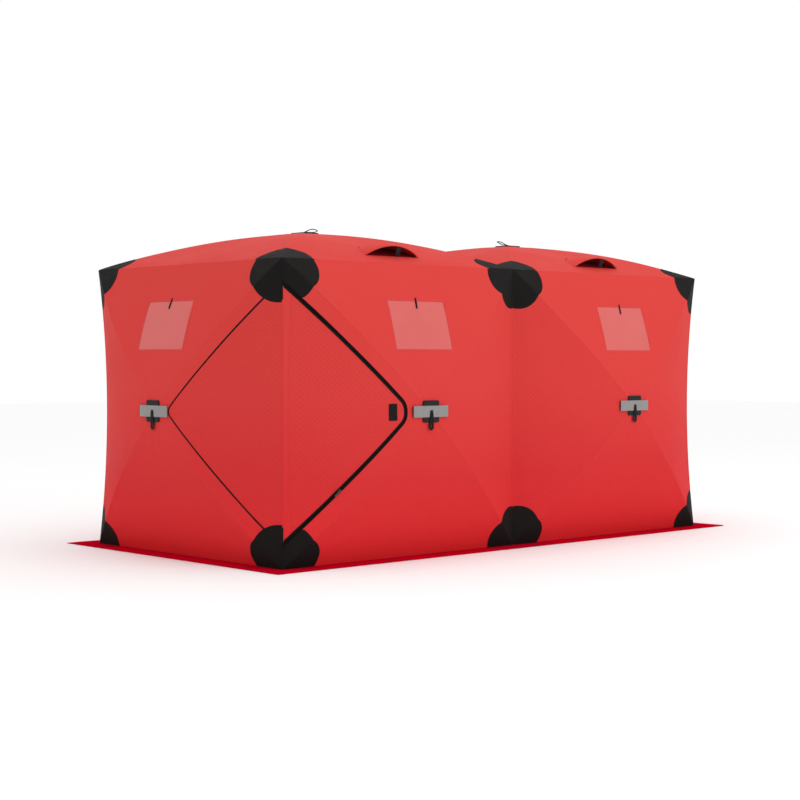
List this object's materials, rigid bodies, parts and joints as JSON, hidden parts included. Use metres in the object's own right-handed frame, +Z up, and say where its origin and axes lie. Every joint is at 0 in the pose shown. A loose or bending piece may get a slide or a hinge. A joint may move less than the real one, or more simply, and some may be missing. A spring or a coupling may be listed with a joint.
{
  "type": "ice fishing shelter",
  "caption": "Pop-up hub ice fishing shelter: square bays of red fabric on bent poles, with corner doors, windows, roof vents and a snow skirt.",
  "frame": {"origin": "on the ground under the middle of the shelter", "axes": "+Z up, +X along the two bays, -Y out of the wall with the front door"},
  "size_m": [4.0628, 2.2628, 1.9214],
  "materials": {
    "red_fabric": "coated polyester weave",
    "black_fabric": "heavy coated weave",
    "skirt_fabric": "coated weave",
    "black_plastic": "moulded",
    "fibreglass": "smooth rod",
    "clear_vinyl": "clear film",
    "reflective_tape": "retroreflective",
    "zip_metal": "satin black"
  },
  "bodies": {
    "shelter": {"front_wall": "red_fabric", "back_wall": "red_fabric", "left_wall": "red_fabric", "right_wall": "red_fabric", "roof": "red_fabric", "windows": "clear_vinyl", "corner_patches": "black_fabric", "corner_pockets": "black_plastic", "hub_strips": "reflective_tape", "skirt": "skirt_fabric"},
    "front_1_hub": {"front_1_hub": "black_plastic"},
    "front_1_pole_upper_right": {"front_1_pole_upper_right": "fibreglass"},
    "front_1_pole_upper_left": {"front_1_pole_upper_left": "fibreglass"},
    "front_1_pole_lower_left": {"front_1_pole_lower_left": "fibreglass"},
    "front_1_pole_lower_right": {"front_1_pole_lower_right": "fibreglass"},
    "front_2_hub": {"front_2_hub": "black_plastic"},
    "front_2_pole_upper_right": {"front_2_pole_upper_right": "fibreglass"},
    "front_2_pole_upper_left": {"front_2_pole_upper_left": "fibreglass"},
    "front_2_pole_lower_left": {"front_2_pole_lower_left": "fibreglass"},
    "front_2_pole_lower_right": {"front_2_pole_lower_right": "fibreglass"},
    "back_1_hub": {"back_1_hub": "black_plastic"},
    "back_1_pole_upper_right": {"back_1_pole_upper_right": "fibreglass"},
    "back_1_pole_upper_left": {"back_1_pole_upper_left": "fibreglass"},
    "back_1_pole_lower_left": {"back_1_pole_lower_left": "fibreglass"},
    "back_1_pole_lower_right": {"back_1_pole_lower_right": "fibreglass"},
    "back_2_hub": {"back_2_hub": "black_plastic"},
    "back_2_pole_upper_right": {"back_2_pole_upper_right": "fibreglass"},
    "back_2_pole_upper_left": {"back_2_pole_upper_left": "fibreglass"},
    "back_2_pole_lower_left": {"back_2_pole_lower_left": "fibreglass"},
    "back_2_pole_lower_right": {"back_2_pole_lower_right": "fibreglass"},
    "left_hub": {"left_hub": "black_plastic"},
    "left_pole_upper_right": {"left_pole_upper_right": "fibreglass"},
    "left_pole_upper_left": {"left_pole_upper_left": "fibreglass"},
    "left_pole_lower_left": {"left_pole_lower_left": "fibreglass"},
    "left_pole_lower_right": {"left_pole_lower_right": "fibreglass"},
    "right_hub": {"right_hub": "black_plastic"},
    "right_pole_upper_right": {"right_pole_upper_right": "fibreglass"},
    "right_pole_upper_left": {"right_pole_upper_left": "fibreglass"},
    "right_pole_lower_left": {"right_pole_lower_left": "fibreglass"},
    "right_pole_lower_right": {"right_pole_lower_right": "fibreglass"},
    "roof_1_hub": {"roof_1_hub": "black_plastic"},
    "roof_1_pole_upper_right": {"roof_1_pole_upper_right": "fibreglass"},
    "roof_1_pole_upper_left": {"roof_1_pole_upper_left": "fibreglass"},
    "roof_1_pole_lower_left": {"roof_1_pole_lower_left": "fibreglass"},
    "roof_1_pole_lower_right": {"roof_1_pole_lower_right": "fibreglass"},
    "roof_2_hub": {"roof_2_hub": "black_plastic"},
    "roof_2_pole_upper_right": {"roof_2_pole_upper_right": "fibreglass"},
    "roof_2_pole_upper_left": {"roof_2_pole_upper_left": "fibreglass"},
    "roof_2_pole_lower_left": {"roof_2_pole_lower_left": "fibreglass"},
    "roof_2_pole_lower_right": {"roof_2_pole_lower_right": "fibreglass"},
    "front_door_surround": {"front_door_surround": "red_fabric"},
    "front_door_flap": {"front_door_flap": "red_fabric"},
    "front_door_zip_slider": {"front_door_zip_slider": "zip_metal"},
    "back_door_surround": {"back_door_surround": "red_fabric"},
    "back_door_flap": {"back_door_flap": "red_fabric"},
    "back_door_zip_slider": {"back_door_zip_slider": "zip_metal"},
    "vent_hood_1": {"vent_hood_1": "red_fabric"},
    "vent_prop_1": {"vent_prop_1": "black_plastic"},
    "vent_hood_2": {"vent_hood_2": "red_fabric"},
    "vent_prop_2": {"vent_prop_2": "black_plastic"}
  },
  "joints": [
    {"name": "front_1_hub_slide", "type": "slide", "parent": "shelter", "child": "front_1_hub", "axis": [0, 1, 0], "range_m": [0, 0.44], "deforming": ["front_wall", "windows", "corner_patches", "hub_strips"]},
    {"name": "front_1_pole_upper_right_pivot", "type": "hinge", "parent": "front_1_hub", "child": "front_1_pole_upper_right", "pos_m": [-0.87227, -1.0906, 0.87249], "axis": [0.6838, 0, -0.7296], "range_deg": [0, 22.54]},
    {"name": "front_1_pole_upper_left_pivot", "type": "hinge", "parent": "front_1_hub", "child": "front_1_pole_upper_left", "pos_m": [-0.92773, -1.0906, 0.87249], "axis": [0.6838, 0, 0.7296], "range_deg": [0, 22.54]},
    {"name": "front_1_pole_lower_left_pivot", "type": "hinge", "parent": "front_1_hub", "child": "front_1_pole_lower_left", "pos_m": [-0.92773, -1.0906, 0.82051], "axis": [-0.6838, 0, 0.7296], "range_deg": [0, 22.54]},
    {"name": "front_1_pole_lower_right_pivot", "type": "hinge", "parent": "front_1_hub", "child": "front_1_pole_lower_right", "pos_m": [-0.87227, -1.0906, 0.82051], "axis": [-0.6838, 0, -0.7296], "range_deg": [0, 22.54]},
    {"name": "front_2_hub_slide", "type": "slide", "parent": "shelter", "child": "front_2_hub", "axis": [0, 1, 0], "range_m": [0, 0.44]},
    {"name": "front_2_pole_upper_right_pivot", "type": "hinge", "parent": "front_2_hub", "child": "front_2_pole_upper_right", "pos_m": [0.92773, -1.0906, 0.87249], "axis": [0.6838, 0, -0.7296], "range_deg": [0, 22.54]},
    {"name": "front_2_pole_upper_left_pivot", "type": "hinge", "parent": "front_2_hub", "child": "front_2_pole_upper_left", "pos_m": [0.87227, -1.0906, 0.87249], "axis": [0.6838, 0, 0.7296], "range_deg": [0, 22.54]},
    {"name": "front_2_pole_lower_left_pivot", "type": "hinge", "parent": "front_2_hub", "child": "front_2_pole_lower_left", "pos_m": [0.87227, -1.0906, 0.82051], "axis": [-0.6838, 0, 0.7296], "range_deg": [0, 22.54]},
    {"name": "front_2_pole_lower_right_pivot", "type": "hinge", "parent": "front_2_hub", "child": "front_2_pole_lower_right", "pos_m": [0.92773, -1.0906, 0.82051], "axis": [-0.6838, 0, -0.7296], "range_deg": [0, 22.54]},
    {"name": "back_1_hub_slide", "type": "slide", "parent": "shelter", "child": "back_1_hub", "axis": [0, -1, 0], "range_m": [0, 0.44], "deforming": ["back_wall"]},
    {"name": "back_1_pole_upper_right_pivot", "type": "hinge", "parent": "back_1_hub", "child": "back_1_pole_upper_right", "pos_m": [0.87227, 1.0906, 0.87249], "axis": [-0.6838, 0, -0.7296], "range_deg": [0, 22.54]},
    {"name": "back_1_pole_upper_left_pivot", "type": "hinge", "parent": "back_1_hub", "child": "back_1_pole_upper_left", "pos_m": [0.92773, 1.0906, 0.87249], "axis": [-0.6838, 0, 0.7296], "range_deg": [0, 22.54]},
    {"name": "back_1_pole_lower_left_pivot", "type": "hinge", "parent": "back_1_hub", "child": "back_1_pole_lower_left", "pos_m": [0.92773, 1.0906, 0.82051], "axis": [0.6838, 0, 0.7296], "range_deg": [0, 22.54]},
    {"name": "back_1_pole_lower_right_pivot", "type": "hinge", "parent": "back_1_hub", "child": "back_1_pole_lower_right", "pos_m": [0.87227, 1.0906, 0.82051], "axis": [0.6838, 0, -0.7296], "range_deg": [0, 22.54]},
    {"name": "back_2_hub_slide", "type": "slide", "parent": "shelter", "child": "back_2_hub", "axis": [0, -1, 0], "range_m": [0, 0.44]},
    {"name": "back_2_pole_upper_right_pivot", "type": "hinge", "parent": "back_2_hub", "child": "back_2_pole_upper_right", "pos_m": [-0.92773, 1.0906, 0.87249], "axis": [-0.6838, 0, -0.7296], "range_deg": [0, 22.54]},
    {"name": "back_2_pole_upper_left_pivot", "type": "hinge", "parent": "back_2_hub", "child": "back_2_pole_upper_left", "pos_m": [-0.87227, 1.0906, 0.87249], "axis": [-0.6838, 0, 0.7296], "range_deg": [0, 22.54]},
    {"name": "back_2_pole_lower_left_pivot", "type": "hinge", "parent": "back_2_hub", "child": "back_2_pole_lower_left", "pos_m": [-0.87227, 1.0906, 0.82051], "axis": [0.6838, 0, 0.7296], "range_deg": [0, 22.54]},
    {"name": "back_2_pole_lower_right_pivot", "type": "hinge", "parent": "back_2_hub", "child": "back_2_pole_lower_right", "pos_m": [-0.92773, 1.0906, 0.82051], "axis": [0.6838, 0, -0.7296], "range_deg": [0, 22.54]},
    {"name": "left_hub_slide", "type": "slide", "parent": "shelter", "child": "left_hub", "axis": [1, 0, 0], "range_m": [0, 0.44], "deforming": ["left_wall"]},
    {"name": "left_pole_upper_right_pivot", "type": "hinge", "parent": "left_hub", "child": "left_pole_upper_right", "pos_m": [-1.9906, -0.02773, 0.87249], "axis": [0, -0.6838, -0.7296], "range_deg": [0, 22.54]},
    {"name": "left_pole_upper_left_pivot", "type": "hinge", "parent": "left_hub", "child": "left_pole_upper_left", "pos_m": [-1.9906, 0.02773, 0.87249], "axis": [0, -0.6838, 0.7296], "range_deg": [0, 22.54]},
    {"name": "left_pole_lower_left_pivot", "type": "hinge", "parent": "left_hub", "child": "left_pole_lower_left", "pos_m": [-1.9906, 0.02773, 0.82051], "axis": [0, 0.6838, 0.7296], "range_deg": [0, 22.54]},
    {"name": "left_pole_lower_right_pivot", "type": "hinge", "parent": "left_hub", "child": "left_pole_lower_right", "pos_m": [-1.9906, -0.02773, 0.82051], "axis": [0, 0.6838, -0.7296], "range_deg": [0, 22.54]},
    {"name": "right_hub_slide", "type": "slide", "parent": "shelter", "child": "right_hub", "axis": [-1, 0, 0], "range_m": [0, 0.44], "deforming": ["right_wall"]},
    {"name": "right_pole_upper_right_pivot", "type": "hinge", "parent": "right_hub", "child": "right_pole_upper_right", "pos_m": [1.9906, 0.02773, 0.87249], "axis": [0, 0.6838, -0.7296], "range_deg": [0, 22.54]},
    {"name": "right_pole_upper_left_pivot", "type": "hinge", "parent": "right_hub", "child": "right_pole_upper_left", "pos_m": [1.9906, -0.02773, 0.87249], "axis": [0, 0.6838, 0.7296], "range_deg": [0, 22.54]},
    {"name": "right_pole_lower_left_pivot", "type": "hinge", "parent": "right_hub", "child": "right_pole_lower_left", "pos_m": [1.9906, -0.02773, 0.82051], "axis": [0, -0.6838, 0.7296], "range_deg": [0, 22.54]},
    {"name": "right_pole_lower_right_pivot", "type": "hinge", "parent": "right_hub", "child": "right_pole_lower_right", "pos_m": [1.9906, 0.02773, 0.82051], "axis": [0, -0.6838, -0.7296], "range_deg": [0, 22.54]},
    {"name": "roof_1_hub_slide", "type": "slide", "parent": "shelter", "child": "roof_1_hub", "axis": [0, 0, -1], "range_m": [0, 0.44], "deforming": ["roof"]},
    {"name": "roof_1_pole_upper_right_pivot", "type": "hinge", "parent": "roof_1_hub", "child": "roof_1_pole_upper_right", "pos_m": [-0.87313, 0.02687, 1.88064], "axis": [0.7071, -0.7071, 0], "range_deg": [0, 21.78]},
    {"name": "roof_1_pole_upper_left_pivot", "type": "hinge", "parent": "roof_1_hub", "child": "roof_1_pole_upper_left", "pos_m": [-0.92687, 0.02687, 1.88064], "axis": [0.7071, 0.7071, 0], "range_deg": [0, 21.78]},
    {"name": "roof_1_pole_lower_left_pivot", "type": "hinge", "parent": "roof_1_hub", "child": "roof_1_pole_lower_left", "pos_m": [-0.92687, -0.02687, 1.88064], "axis": [-0.7071, 0.7071, 0], "range_deg": [0, 21.78]},
    {"name": "roof_1_pole_lower_right_pivot", "type": "hinge", "parent": "roof_1_hub", "child": "roof_1_pole_lower_right", "pos_m": [-0.87313, -0.02687, 1.88064], "axis": [-0.7071, -0.7071, 0], "range_deg": [0, 21.78]},
    {"name": "roof_2_hub_slide", "type": "slide", "parent": "shelter", "child": "roof_2_hub", "axis": [0, 0, -1], "range_m": [0, 0.44]},
    {"name": "roof_2_pole_upper_right_pivot", "type": "hinge", "parent": "roof_2_hub", "child": "roof_2_pole_upper_right", "pos_m": [0.92687, 0.02687, 1.88064], "axis": [0.7071, -0.7071, 0], "range_deg": [0, 21.78]},
    {"name": "roof_2_pole_upper_left_pivot", "type": "hinge", "parent": "roof_2_hub", "child": "roof_2_pole_upper_left", "pos_m": [0.87313, 0.02687, 1.88064], "axis": [0.7071, 0.7071, 0], "range_deg": [0, 21.78]},
    {"name": "roof_2_pole_lower_left_pivot", "type": "hinge", "parent": "roof_2_hub", "child": "roof_2_pole_lower_left", "pos_m": [0.87313, -0.02687, 1.88064], "axis": [-0.7071, 0.7071, 0], "range_deg": [0, 21.78]},
    {"name": "roof_2_pole_lower_right_pivot", "type": "hinge", "parent": "roof_2_hub", "child": "roof_2_pole_lower_right", "pos_m": [0.92687, -0.02687, 1.88064], "axis": [-0.7071, -0.7071, 0], "range_deg": [0, 21.78]},
    {"name": "front_door_fold", "type": "hinge", "parent": "shelter", "child": "front_door_surround", "pos_m": [-1.8, -0.9, 0.8465], "axis": [0, 0, 1], "range_deg": [0, 27.49]},
    {"name": "front_door_swing", "type": "hinge", "parent": "front_door_surround", "child": "front_door_flap", "pos_m": [-1.745, -0.9, 0.8465], "axis": [0, 0, -1], "range_deg": [0, 110]},
    {"name": "front_door_zip", "type": "slide", "parent": "front_door_surround", "child": "front_door_zip_slider", "axis": [0.716, -0.1944, 0.6704], "range_m": [0, 0.3057]},
    {"name": "back_door_fold", "type": "hinge", "parent": "shelter", "child": "back_door_surround", "pos_m": [1.8, 0.9, 0.8465], "axis": [0, 0, 1], "range_deg": [0, 27.49]},
    {"name": "back_door_swing", "type": "hinge", "parent": "back_door_surround", "child": "back_door_flap", "pos_m": [1.745, 0.9, 0.8465], "axis": [0, 0, -1], "range_deg": [0, 110]},
    {"name": "back_door_zip", "type": "slide", "parent": "back_door_surround", "child": "back_door_zip_slider", "axis": [-0.716, 0.1944, 0.6704], "range_m": [0, 0.3057]},
    {"name": "vent_hood_1_fold", "type": "hinge", "parent": "shelter", "child": "vent_hood_1", "pos_m": [-0.9, -0.9, 1.69], "axis": [-1, 0, 0], "range_deg": [0, 27.49]},
    {"name": "vent_prop_1_fold", "type": "hinge", "parent": "vent_hood_1", "child": "vent_prop_1", "pos_m": [-0.86, -0.79433, 1.74137], "axis": [-1, 0, 0], "range_deg": [0, 80]},
    {"name": "vent_hood_2_fold", "type": "hinge", "parent": "shelter", "child": "vent_hood_2", "pos_m": [0.9, -0.9, 1.69], "axis": [-1, 0, 0], "range_deg": [0, 27.49]},
    {"name": "vent_prop_2_fold", "type": "hinge", "parent": "vent_hood_2", "child": "vent_prop_2", "pos_m": [0.94, -0.79433, 1.74137], "axis": [-1, 0, 0], "range_deg": [0, 80]}
  ],
  "couplings": [
    {"joint": "front_1_pole_upper_right_pivot", "follows": "front_1_hub_slide", "rad_per_m": 0.89338},
    {"joint": "front_1_pole_upper_left_pivot", "follows": "front_1_hub_slide", "rad_per_m": 0.89338},
    {"joint": "front_1_pole_lower_left_pivot", "follows": "front_1_hub_slide", "rad_per_m": 0.89338},
    {"joint": "front_1_pole_lower_right_pivot", "follows": "front_1_hub_slide", "rad_per_m": 0.89338},
    {"joint": "front_2_pole_upper_right_pivot", "follows": "front_2_hub_slide", "rad_per_m": 0.89338},
    {"joint": "front_2_pole_upper_left_pivot", "follows": "front_2_hub_slide", "rad_per_m": 0.89338},
    {"joint": "front_2_pole_lower_left_pivot", "follows": "front_2_hub_slide", "rad_per_m": 0.89338},
    {"joint": "front_2_pole_lower_right_pivot", "follows": "front_2_hub_slide", "rad_per_m": 0.89338},
    {"joint": "back_1_pole_upper_right_pivot", "follows": "back_1_hub_slide", "rad_per_m": 0.89338},
    {"joint": "back_1_pole_upper_left_pivot", "follows": "back_1_hub_slide", "rad_per_m": 0.89338},
    {"joint": "back_1_pole_lower_left_pivot", "follows": "back_1_hub_slide", "rad_per_m": 0.89338},
    {"joint": "back_1_pole_lower_right_pivot", "follows": "back_1_hub_slide", "rad_per_m": 0.89338},
    {"joint": "back_2_pole_upper_right_pivot", "follows": "back_2_hub_slide", "rad_per_m": 0.89338},
    {"joint": "back_2_pole_upper_left_pivot", "follows": "back_2_hub_slide", "rad_per_m": 0.89338},
    {"joint": "back_2_pole_lower_left_pivot", "follows": "back_2_hub_slide", "rad_per_m": 0.89338},
    {"joint": "back_2_pole_lower_right_pivot", "follows": "back_2_hub_slide", "rad_per_m": 0.89338},
    {"joint": "left_pole_upper_right_pivot", "follows": "left_hub_slide", "rad_per_m": 0.89338},
    {"joint": "left_pole_upper_left_pivot", "follows": "left_hub_slide", "rad_per_m": 0.89338},
    {"joint": "left_pole_lower_left_pivot", "follows": "left_hub_slide", "rad_per_m": 0.89338},
    {"joint": "left_pole_lower_right_pivot", "follows": "left_hub_slide", "rad_per_m": 0.89338},
    {"joint": "right_pole_upper_right_pivot", "follows": "right_hub_slide", "rad_per_m": 0.89338},
    {"joint": "right_pole_upper_left_pivot", "follows": "right_hub_slide", "rad_per_m": 0.89338},
    {"joint": "right_pole_lower_left_pivot", "follows": "right_hub_slide", "rad_per_m": 0.89338},
    {"joint": "right_pole_lower_right_pivot", "follows": "right_hub_slide", "rad_per_m": 0.89338},
    {"joint": "roof_1_pole_upper_right_pivot", "follows": "roof_1_hub_slide", "rad_per_m": 0.86318},
    {"joint": "roof_1_pole_upper_left_pivot", "follows": "roof_1_hub_slide", "rad_per_m": 0.86318},
    {"joint": "roof_1_pole_lower_left_pivot", "follows": "roof_1_hub_slide", "rad_per_m": 0.86318},
    {"joint": "roof_1_pole_lower_right_pivot", "follows": "roof_1_hub_slide", "rad_per_m": 0.86318},
    {"joint": "roof_2_pole_upper_right_pivot", "follows": "roof_2_hub_slide", "rad_per_m": 0.86318},
    {"joint": "roof_2_pole_upper_left_pivot", "follows": "roof_2_hub_slide", "rad_per_m": 0.86318},
    {"joint": "roof_2_pole_lower_left_pivot", "follows": "roof_2_hub_slide", "rad_per_m": 0.86318},
    {"joint": "roof_2_pole_lower_right_pivot", "follows": "roof_2_hub_slide", "rad_per_m": 0.86318},
    {"joint": "front_door_fold", "follows": "front_1_hub_slide", "rad_per_m": 1.0897},
    {"joint": "back_door_fold", "follows": "back_1_hub_slide", "rad_per_m": 1.0897},
    {"joint": "vent_hood_1_fold", "follows": "roof_1_hub_slide", "rad_per_m": 1.0897},
    {"joint": "vent_hood_2_fold", "follows": "roof_2_hub_slide", "rad_per_m": 1.0897}
  ]
}
